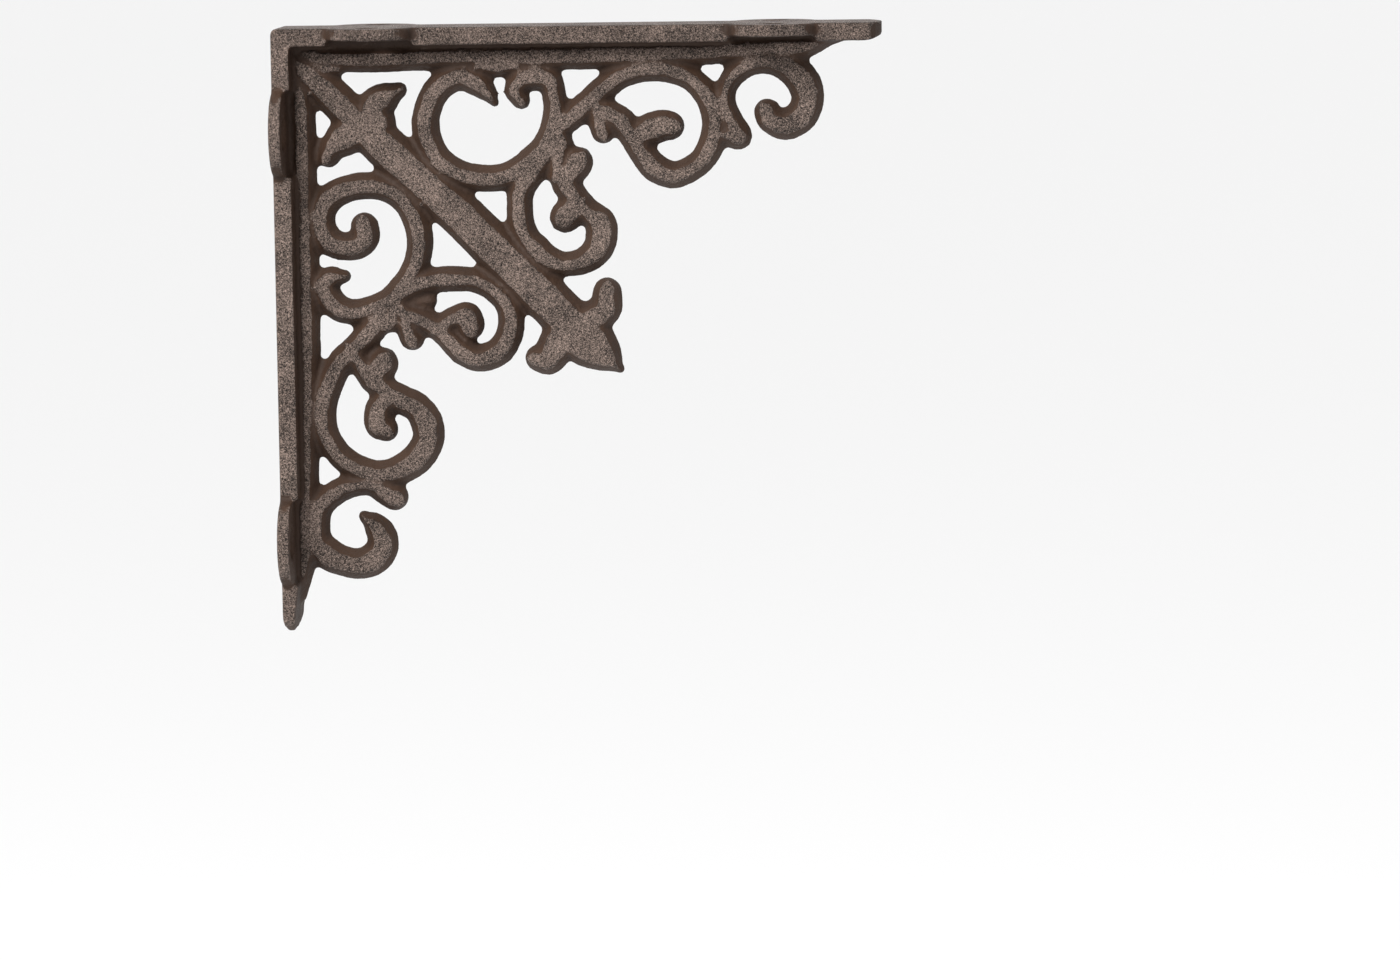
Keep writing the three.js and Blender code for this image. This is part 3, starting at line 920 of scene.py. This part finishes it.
def rough_cast(piece, finish):
    """The waver of a hand-made mould, kept off the two seats and inside the pattern's box."""
    shape = Shape("Rough cast")
    here = shape.node("GeometryNodeInputPosition")
    normal = shape.node("GeometryNodeInputNormal")
    shift = 0.0
    kinds = (("Long waver", LONG_WAVER), ("Short waver", SHORT_WAVER), ("Pitting", PITTING))
    for name, (most, swells, seed) in kinds:
        amount = shape.size(name, most * MM)
        settings = {"noise_dimensions": "4D"}
        inputs = {"Vector": here, "W": seed, "Scale": swells, "Detail": 1.0}
        shift = shift + amount * (shape.node("ShaderNodeTexNoise", settings, inputs) - 0.5) * 2.0
    x, _, z = shape.separate(here)
    start, full = (edge * MM for edge in SEAT_EDGE)
    clear = shape.ramp(x, start, full) * shape.ramp(cad_high.z - z, start, full)
    moved = here + shape.scaled(normal, shift * clear)
    shape.apply(piece, shape.move(shape.geometry, position=shape.boxed(moved)), finish)


def thin_out(piece):
    """Brings the skin under the most triangles it may keep."""
    triangles = sum(len(face.vertices) - 2 for face in piece.data.polygons)
    if triangles > MOST_TRIANGLES:
        fewer = piece.modifiers.new("fewer", "DECIMATE")
        fewer.ratio = MOST_TRIANGLES / triangles
        settle(piece)


def mark_hollows(piece, finish):
    """Holds the thinned skin in the pattern's box, then stores how hollow it is, over nought in
    creases and under it on ridges, and where the seats on the wall and the shelf are."""
    shape = Shape("Hollows")
    here = shape.node("GeometryNodeInputPosition")
    normal = shape.node("GeometryNodeInputNormal")
    geometry = shape.move(shape.geometry, position=shape.boxed(here))
    for name, rounds in (("crease", CREASE_ROUNDS), ("hollow", HOLLOW_ROUNDS)):
        settings = {"data_type": "FLOAT_VECTOR"}
        inputs = {"Value": here, "Iterations": rounds}
        blurred = shape.node("GeometryNodeBlurAttribute", settings, inputs)
        depth = shape.dot(blurred - here, normal) / MM
        geometry = shape.store(geometry, name, depth)
    outwards, _, upwards = shape.separate(normal)
    shelf_seat = shape.ramp(upwards, *SEAT_SQUARE)
    wall_seat = shape.ramp(-outwards, *SEAT_SQUARE)
    seat = shape.math("MAXIMUM", shelf_seat, wall_seat)
    x, _, z = shape.separate(here)
    inset = shape.math("MINIMUM", x, cad_high.z - z)
    seat = seat * (1.0 - shape.ramp(inset, *(level * MM for level in SEAT_DEPTH)))
    geometry = shape.store(geometry, "seat", seat)
    shape.apply(piece, geometry, finish)


class Finish(Tree):
    """A material with one Principled shader, its fixed values on the shader's own sockets."""

    def __init__(self, name, **fixed):
        self.material = bpy.data.materials.new(name)
        self.material.use_nodes = True
        super().__init__(self.material.node_tree)
        self.shader = self.tree.nodes.new("ShaderNodeBsdfPrincipled")
        ending = self.tree.nodes.new("ShaderNodeOutputMaterial")
        self.tree.links.new(self.shader.outputs[0], ending.inputs["Surface"])
        for socket, value in fixed.items():
            self.shader.inputs[socket.replace("_", " ")].default_value = value

    def feed(self, socket, field):
        self.tree.links.new(field.socket, self.shader.inputs[socket])

    def noise(self, where, scale, detail=2.0, roughness=0.5, swirl=0.0):
        inputs = {"Vector": where, "Scale": scale, "Detail": detail, "Roughness": roughness}
        inputs["Distortion"] = swirl
        return self.node("ShaderNodeTexNoise", {}, inputs)

    def stored(self, name):
        return self.node("ShaderNodeAttribute", {"attribute_name": name}, {}, "Fac")

    def mix(self, share, first, second):
        settings = {"data_type": "RGBA"}
        return self.node("ShaderNodeMix", settings, {"Factor": share, "A": first, "B": second})


def colour(red, green, blue):
    """A colour from screen values 0 to 255."""
    linear = []
    for value in (red / 255, green / 255, blue / 255):
        linear.append(value / 12.92 if value < 0.04045 else ((value + 0.055) / 1.055) ** 2.4)
    return (*linear, 1.0)


# The finish: grains, lumps and patches to a metre, and how high the grain stands in millimetres
PATCHES = 160.0
LUMPS = 900.0
GRAIN = 3300.0
SAND = 5200.0
RELIEF = 0.62

# How squarely a face lies to the front or back before it starts to wear and where it is worn
# through, and how squarely the two seats count as lying
WEAR = (0.81, 1.0)
SEAT_WEAR = 0.93
# How far the patches shift the wear, and how far a crease holds it back
PATCHY_WEAR = 0.3
CREASE_GUARD = 1.2
# How far from the middle of the casting wear starts and is full, in millimetres
PROUD = (1.6, 2.7)
# What the grain, the sand and the patches count in a speck, and where a speck starts and is full
GRAIN_PART = 0.7
SAND_PART = 0.3
PATCH_PART = 0.12
SPECKS = (0.42, 0.66)
# The metal that a worn speck shows, the coat's roughness, and what a speck and a seat take off it
SPECK_METAL = 0.35
COAT_ROUGHNESS = 0.66
SPECK_POLISH = 0.28
SEAT_POLISH = 0.1
# The coat's relief beside the worn face's, what the sand and the lumps add, and what a seat loses
COAT_RELIEF = 0.15
SAND_RELIEF = 0.5
LUMP_RELIEF = 0.5
SEAT_FLATNESS = 0.5
# How far painted shade darkens the hollows, where it goes with their brown patina, the shelf plate's edge
# and the undersides, where a hollow and an underside start and are full, what a crease counts in a
# hollow, and how softly the edge's painted shade starts
HOLLOW_SHADE_AND_PATINA = 0.3
PAINTED_EDGE_SHADE = 0.2
PAINTED_UNDERSIDE_SHADE = 0.2
HOLLOWS = (0.0, 0.7)
UNDERSIDES = (0.1, 0.8)
CREASE_PART = 2.0
EDGE_SOFTNESS = 0.4
# Which of the seat marks stored on the skin count as none and as all
SEAT_MARKS = (0.2, 0.8)

# Its colours: the coat in two browns, the worn face between its specks and on them, and the colour of
# the painted shade on hollows, the shelf plate's edge and undersides, in the hollows also their brown
# patina
BROWNS = (colour(38, 25, 17), colour(60, 42, 30))
GREYS = (colour(22, 16, 12), colour(160, 140, 129))
SHADE_AND_PATINA_COLOUR = colour(26, 17, 12)


def cast_iron():
    """Dark brown iron as cast: a grey speckled sand grain on worn faces, smooth brown elsewhere, with
    painted shading darkening the hollows (along with their brown patina), the shelf plate's edge and the
    undersides.
    """
    finish = Finish("cast_iron", IOR=1.3)
    where = finish.node("ShaderNodeTexCoord", {}, {}, "Object")
    normal = finish.node("ShaderNodeNewGeometry", {}, {}, "Normal")
    crease = finish.stored("crease")
    hollow = finish.stored("hollow")
    across, up = finish.separate(normal)[1:]
    facing = finish.math("ABSOLUTE", across)
    patches = finish.noise(where, PATCHES, 3.0)
    seat = finish.ramp(finish.stored("seat"), *SEAT_MARKS)
    open_face = finish.math("MAXIMUM", facing, seat * SEAT_WEAR)
    worn = finish.ramp(open_face + (patches - 0.5) * PATCHY_WEAR - crease * CREASE_GUARD, *WEAR)
    depth = finish.math("ABSOLUTE", finish.separate(where)[1])
    proud = finish.ramp(depth, *(level * MM for level in PROUD))
    worn = worn * finish.math("MAXIMUM", proud, seat)
    grain = finish.noise(where, GRAIN, 3.0, 0.6, 1.2)
    sand = finish.noise(where, SAND, 2.0, 0.6)
    speck = grain * GRAIN_PART + sand * SAND_PART + (patches - 0.5) * PATCH_PART
    speck = finish.ramp(speck, *SPECKS)
    base = finish.mix(worn, finish.mix(patches, *BROWNS), finish.mix(speck, *GREYS))
    plate_edge = cad_high.z - PLATE_THICKNESS * MM
    soft = EDGE_SOFTNESS * MM
    # Painted shade: the shelf plate's edge, from just under its inner face up, is painted darker than the
    # wall plate's, for light falling less on it
    edge = finish.ramp(finish.separate(where)[2], plate_edge - soft, plate_edge + soft)
    # Painted shade: faces turned downwards are painted darker, where less light reaches them
    under = finish.ramp(-up, *UNDERSIDES)
    # Hollows and creases are painted darker, seats left out: partly their brown patina, partly painted
    # shade where little light gets in
    hollow_shade_and_patina = finish.ramp(hollow + crease * CREASE_PART, *HOLLOWS) * (1.0 - seat)
    painted_shade_and_patina = hollow_shade_and_patina * HOLLOW_SHADE_AND_PATINA + edge * PAINTED_EDGE_SHADE + under * PAINTED_UNDERSIDE_SHADE
    # The coat is mixed towards the colour of painted shade and patina by the three marks above
    finish.feed("Base Color", finish.mix(painted_shade_and_patina, base, SHADE_AND_PATINA_COLOUR))
    finish.feed("Metallic", worn * speck * SPECK_METAL)
    finish.feed("Roughness", COAT_ROUGHNESS - worn * speck * SPECK_POLISH - seat * SEAT_POLISH)
    lumps = finish.noise(where, LUMPS, 2.0)
    relief = (grain + sand * SAND_RELIEF) * (COAT_RELIEF + worn * (1.0 - COAT_RELIEF))
    relief = (relief + lumps * LUMP_RELIEF) * (1.0 - seat * SEAT_FLATNESS)
    bump = finish.node(
        "ShaderNodeBump", {}, {"Strength": 1.0, "Distance": RELIEF * MM, "Height": relief}
    )
    finish.feed("Normal", bump)
    return finish.material


def bracket():
    iron = cast_iron()
    wires = fretwork_wires()
    sweep_bars(wires, iron)
    piece = join("bracket", [wires, plates()])
    cast_skin(piece)
    rough_cast(piece, iron)
    thin_out(piece)
    mark_hollows(piece, iron)
    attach(piece, "root")
    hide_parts("bracket_casting")


# The stage, in metres: a pale floor well below the bracket, an even room and one soft light
FLOOR_SIZE = 120
FLOOR_DROP = 0.35
FLOOR_COLOUR = (0.95, 0.95, 0.95, 1)
ROOM_LIGHT = 0.95
KEY_PLACE = (-0.3, -0.75, 0.62)
KEY_SIZE = 0.35
KEY_WATTS = 19


def pale_floor():
    pale = Finish("pale floor", Roughness=0.9)
    pale.shader.inputs["Base Color"].default_value = FLOOR_COLOUR
    half = FLOOR_SIZE / 2
    level = cad_low.z - FLOOR_DROP
    corners = [(-half, -half, level), (half, -half, level), (half, half, level), (-half, half, level)]
    mesh = bpy.data.meshes.new("floor")
    mesh.from_pydata(corners, [], [(0, 1, 2, 3)])
    mesh.materials.append(pale.material)
    new_object("floor", mesh)


def soft_light(name, place, size, watts):
    """A square soft box that faces the middle of the bracket."""
    light = bpy.data.lights.new(name, "AREA")
    light.shape = "SQUARE"
    light.size = size
    light.energy = watts
    lamp = new_object(name, light)
    lamp.location = place
    middle = (cad_low + cad_high) / 2
    lamp.rotation_euler = (middle - lamp.location).to_track_quat("-Z", "Y").to_euler()


def lights():
    world = bpy.data.worlds.new("studio")
    world.use_nodes = True
    background = world.node_tree.nodes["Background"]
    background.inputs["Color"].default_value = (1, 1, 1, 1)
    background.inputs["Strength"].default_value = ROOM_LIGHT
    bpy.context.scene.world = world
    soft_light("key", KEY_PLACE, KEY_SIZE, KEY_WATTS)
    bpy.context.scene.view_settings.view_transform = "Standard"


# Where the photograph was taken from, in metres and degrees
CAMERA_PLACE = (0.165, -1.3, 0.1165)
CAMERA_AIM = (-3.219, -6.591)
CAMERA_ROLL = -0.79
PHOTO_WIDTH = 1400
FOCAL_PIXELS = 5957


def camera():
    view = bpy.data.cameras.new("camera")
    view.sensor_width = 36
    view.lens = FOCAL_PIXELS / PHOTO_WIDTH * view.sensor_width
    view.clip_start = 0.01
    view.clip_end = 100
    eye = new_object("camera", view)
    eye.location = CAMERA_PLACE
    turn, tilt = (math.radians(angle) for angle in CAMERA_AIM)
    ahead = Vector((math.sin(turn) * math.cos(tilt), math.cos(turn) * math.cos(tilt), math.sin(tilt)))
    aim = ahead.to_track_quat("-Z", "Y").to_matrix()
    roll = Matrix.Rotation(math.radians(CAMERA_ROLL), 3, "Z")
    eye.rotation_euler = (aim @ roll).to_euler()
    bpy.context.scene.camera = eye


bracket()
pale_floor()
lights()
camera()
